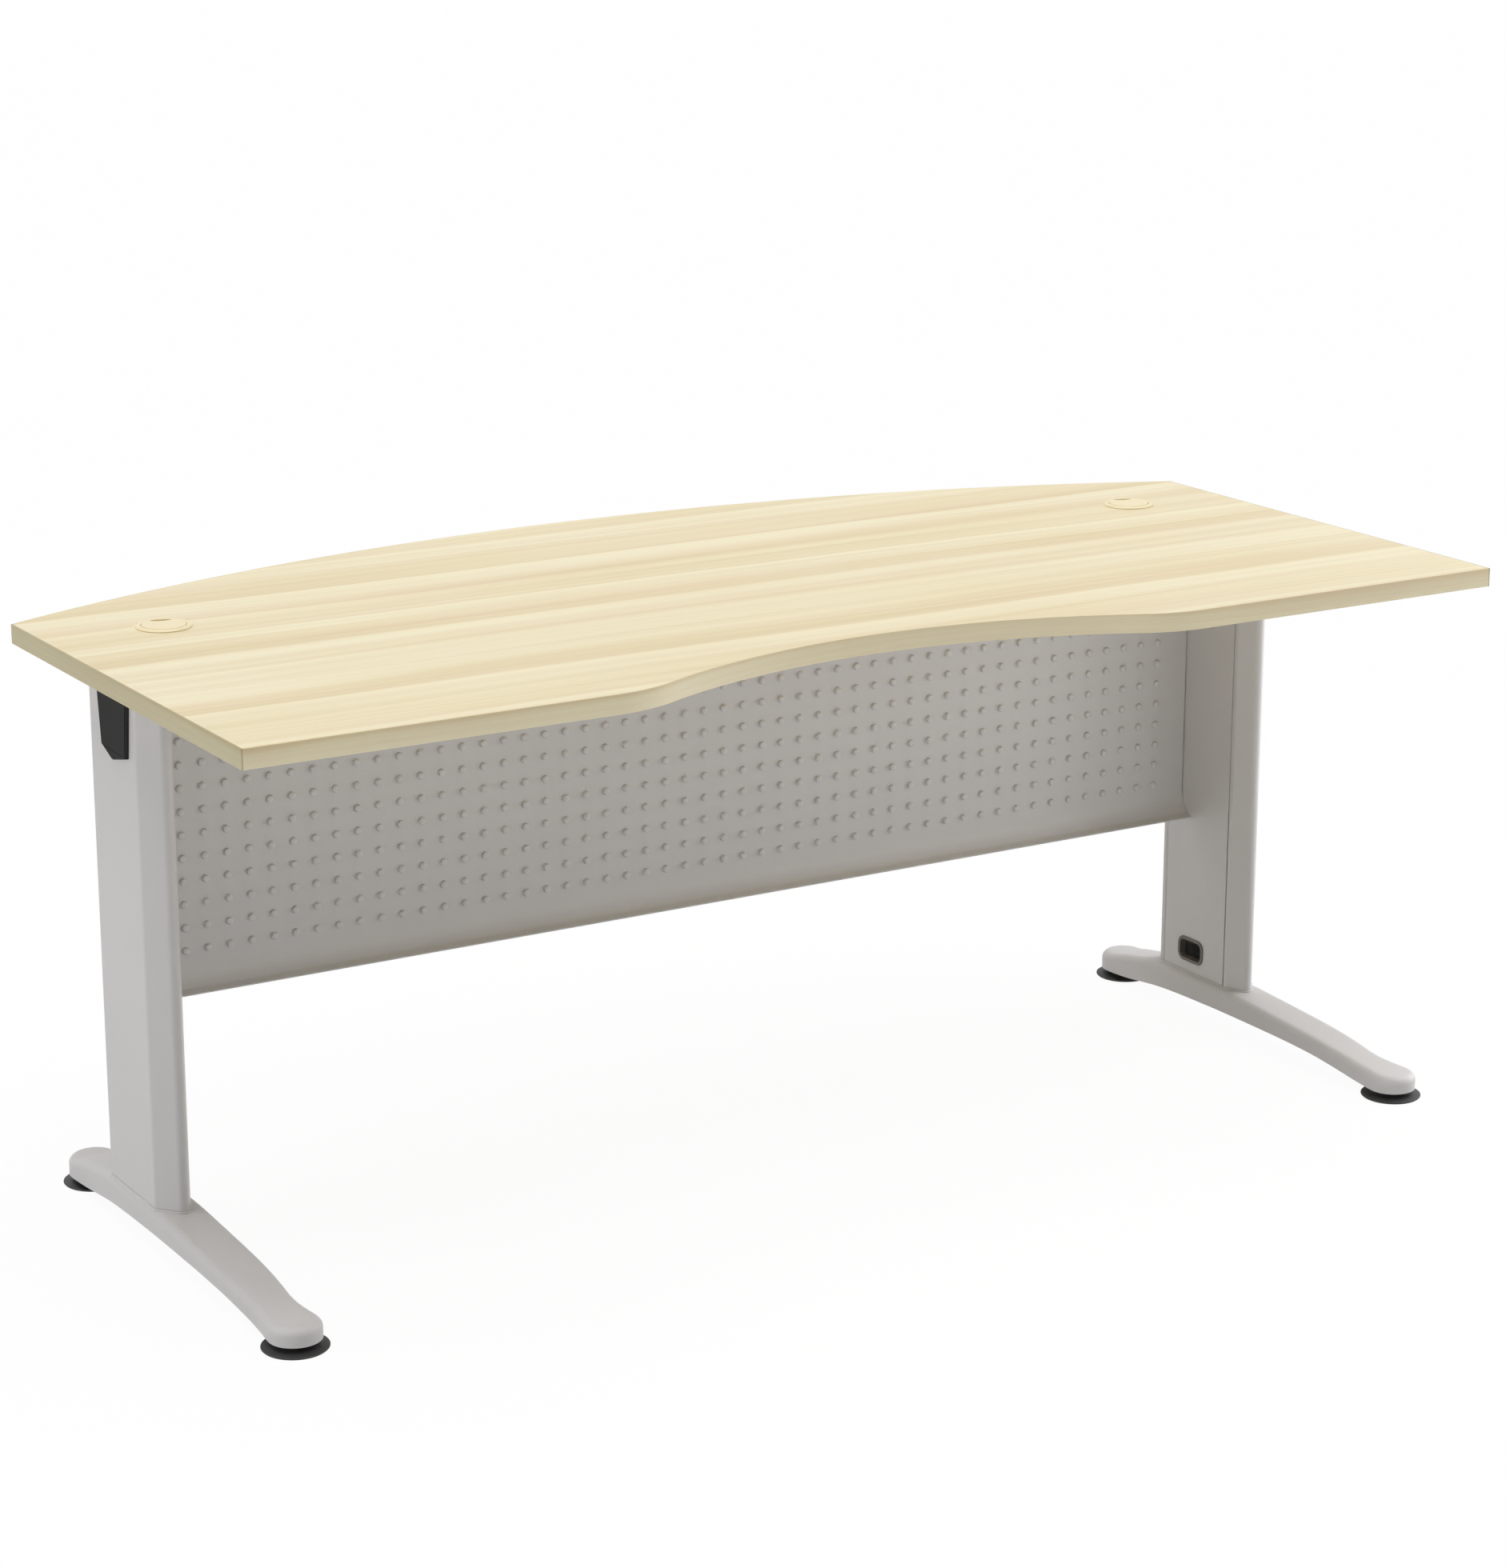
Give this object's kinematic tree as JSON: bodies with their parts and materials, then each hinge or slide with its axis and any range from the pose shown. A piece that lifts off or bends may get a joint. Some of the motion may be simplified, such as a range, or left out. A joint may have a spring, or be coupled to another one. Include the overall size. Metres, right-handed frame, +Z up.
{
  "type": "executive desk",
  "caption": "Executive desk with a wave-fronted, bow-backed worktop on two cantilever steel legs, a modesty panel pressed with a grid of bumps, cable grommets and levelling glides.",
  "frame": {"origin": "on the floor under the middle of the desk's length and greatest depth", "axes": "+X to the right along the desk's length as seen by the seated user, +Y from the user's side to the visitor's side, +Z up; the user sits on the -Y side"},
  "size_m": [1.8, 0.9, 0.7536],
  "materials": {
    "laminate": "pale wood-grain laminate, matt",
    "edging": "satin edge banding to match the laminate",
    "cream_plastic": "satin moulded cream plastic",
    "grey_coat": "silver-grey fine-texture powder coat",
    "black_coat": "matt black powder coat",
    "black_plastic": "matt moulded black plastic",
    "dark_plastic": "matt moulded dark-grey plastic",
    "zinc_steel": "bright zinc plate"
  },
  "bodies": {
    "frame": {"top_board": "laminate", "front_edge_band": "edging", "rear_edge_band": "edging", "right_edge_band": "edging", "left_edge_band": "edging", "left_grommet_sleeve": "cream_plastic", "right_grommet_sleeve": "cream_plastic", "left_foot": "grey_coat", "left_upright": "grey_coat", "left_base_plate": "grey_coat", "left_top_plate": "grey_coat", "left_cable_cover": "grey_coat", "left_cable_outlet": "dark_plastic", "left_bracket_cap": "black_plastic", "left_bearer": "black_coat", "left_panel_bracket": "grey_coat", "left_foot_bolt_front": "zinc_steel", "left_foot_bolt_rear": "zinc_steel", "left_bearer_bolt_front": "zinc_steel", "left_bearer_bolt_rear": "zinc_steel", "left_top_screw_front_inner": "zinc_steel", "left_top_screw_front_outer": "zinc_steel", "left_top_screw_rear_inner": "zinc_steel", "left_top_screw_rear_outer": "zinc_steel", "left_panel_bolt_low": "zinc_steel", "left_panel_bolt_middle": "zinc_steel", "left_panel_bolt_high": "zinc_steel", "right_foot": "grey_coat", "right_upright": "grey_coat", "right_base_plate": "grey_coat", "right_top_plate": "grey_coat", "right_cable_cover": "grey_coat", "right_cable_outlet": "dark_plastic", "right_bracket_cap": "black_plastic", "right_bearer": "black_coat", "right_panel_bracket": "grey_coat", "right_foot_bolt_front": "zinc_steel", "right_foot_bolt_rear": "zinc_steel", "right_bearer_bolt_front": "zinc_steel", "right_bearer_bolt_rear": "zinc_steel", "right_top_screw_front_inner": "zinc_steel", "right_top_screw_front_outer": "zinc_steel", "right_top_screw_rear_inner": "zinc_steel", "right_top_screw_rear_outer": "zinc_steel", "right_panel_bolt_low": "zinc_steel", "right_panel_bolt_middle": "zinc_steel", "right_panel_bolt_high": "zinc_steel", "modesty_panel": "grey_coat"},
    "left_front_glide": {"left_front_glide_disc": "black_plastic"},
    "left_front_stud": {"left_front_glide_stud": "zinc_steel"},
    "left_rear_glide": {"left_rear_glide_disc": "black_plastic"},
    "left_rear_stud": {"left_rear_glide_stud": "zinc_steel"},
    "left_lid": {"left_grommet_lid": "cream_plastic"},
    "right_front_glide": {"right_front_glide_disc": "black_plastic"},
    "right_front_stud": {"right_front_glide_stud": "zinc_steel"},
    "right_rear_glide": {"right_rear_glide_disc": "black_plastic"},
    "right_rear_stud": {"right_rear_glide_stud": "zinc_steel"},
    "right_lid": {"right_grommet_lid": "cream_plastic"}
  },
  "joints": [
    {"name": "left_front_glide_travel", "type": "slide", "parent": "frame", "child": "left_front_glide", "axis": [0, 0, -1], "range_m": [0, 0.01]},
    {"name": "left_front_stud_turn", "type": "hinge", "parent": "left_front_glide", "child": "left_front_stud", "pos_m": [-0.829, -0.383, 0.02], "axis": [0, 0, -1], "range_deg": [0, 2881]},
    {"name": "left_rear_glide_travel", "type": "slide", "parent": "frame", "child": "left_rear_glide", "axis": [0, 0, -1], "range_m": [0, 0.01]},
    {"name": "left_rear_stud_turn", "type": "hinge", "parent": "left_rear_glide", "child": "left_rear_stud", "pos_m": [-0.829, 0.236, 0.02], "axis": [0, 0, -1], "range_deg": [0, 2881]},
    {"name": "left_lid_turn", "type": "hinge", "parent": "frame", "child": "left_lid", "pos_m": [-0.742, 0.14, 0.75], "axis": [0, 0, 1], "continuous": true},
    {"name": "right_front_glide_travel", "type": "slide", "parent": "frame", "child": "right_front_glide", "axis": [0, 0, -1], "range_m": [0, 0.01]},
    {"name": "right_front_stud_turn", "type": "hinge", "parent": "right_front_glide", "child": "right_front_stud", "pos_m": [0.829, -0.383, 0.02], "axis": [0, 0, -1], "range_deg": [0, 2881]},
    {"name": "right_rear_glide_travel", "type": "slide", "parent": "frame", "child": "right_rear_glide", "axis": [0, 0, -1], "range_m": [0, 0.01]},
    {"name": "right_rear_stud_turn", "type": "hinge", "parent": "right_rear_glide", "child": "right_rear_stud", "pos_m": [0.829, 0.236, 0.02], "axis": [0, 0, -1], "range_deg": [0, 2881]},
    {"name": "right_lid_turn", "type": "hinge", "parent": "frame", "child": "right_lid", "pos_m": [0.742, 0.14, 0.75], "axis": [0, 0, 1], "continuous": true}
  ],
  "couplings": [
    {"joint": "left_front_stud_turn", "follows": "left_front_glide_travel", "rad_per_m": 5026.5},
    {"joint": "left_rear_stud_turn", "follows": "left_rear_glide_travel", "rad_per_m": 5026.5},
    {"joint": "right_front_stud_turn", "follows": "right_front_glide_travel", "rad_per_m": 5026.5},
    {"joint": "right_rear_stud_turn", "follows": "right_rear_glide_travel", "rad_per_m": 5026.5}
  ]
}
